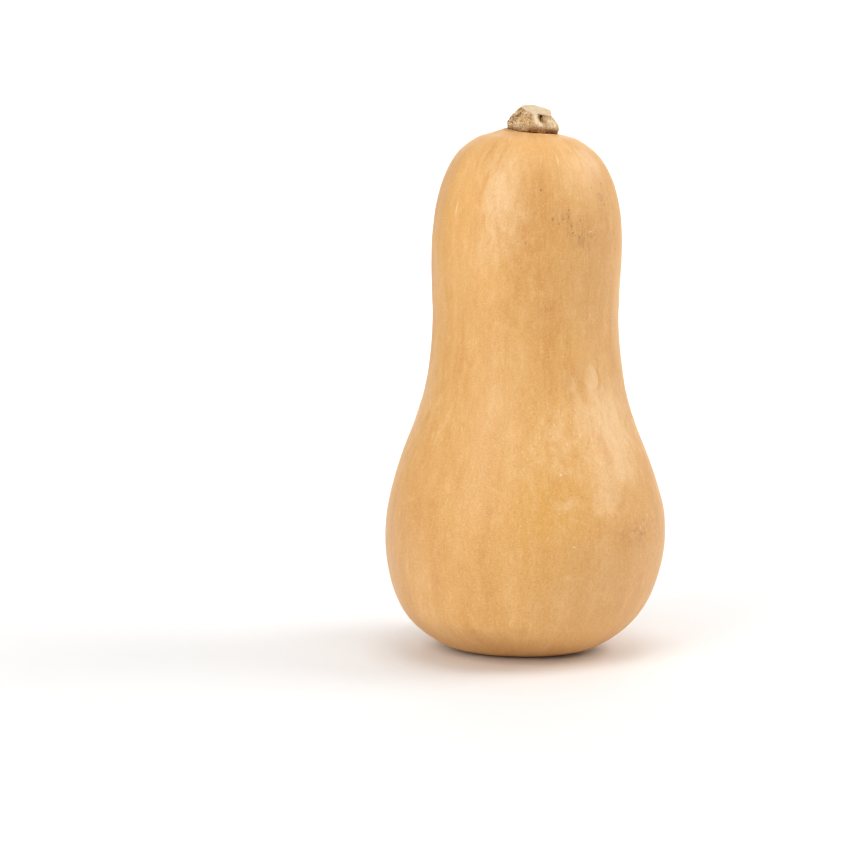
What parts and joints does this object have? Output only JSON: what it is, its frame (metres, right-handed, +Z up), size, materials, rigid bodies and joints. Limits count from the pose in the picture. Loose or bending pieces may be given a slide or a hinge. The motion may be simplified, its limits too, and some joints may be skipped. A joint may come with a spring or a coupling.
{
  "type": "butternut squash",
  "caption": "Whole butternut squash: a pear-shaped tan fruit with a thick neck and a round bulb, standing on its blossom end, with a short corky cut stem on top.",
  "frame": {"origin": "on the surface the squash stands on, under the middle of its outline", "axes": "+Z up along the fruit from blossom end to stem, -Y towards the side seen in the picture, +X to that view's right"},
  "size_m": [0.1356, 0.1376, 0.2635],
  "materials": {
    "rind": "satin",
    "stem_cork": "matte"
  },
  "bodies": {
    "root": {"fruit": "rind", "stem": "stem_cork"}
  },
  "joints": []
}
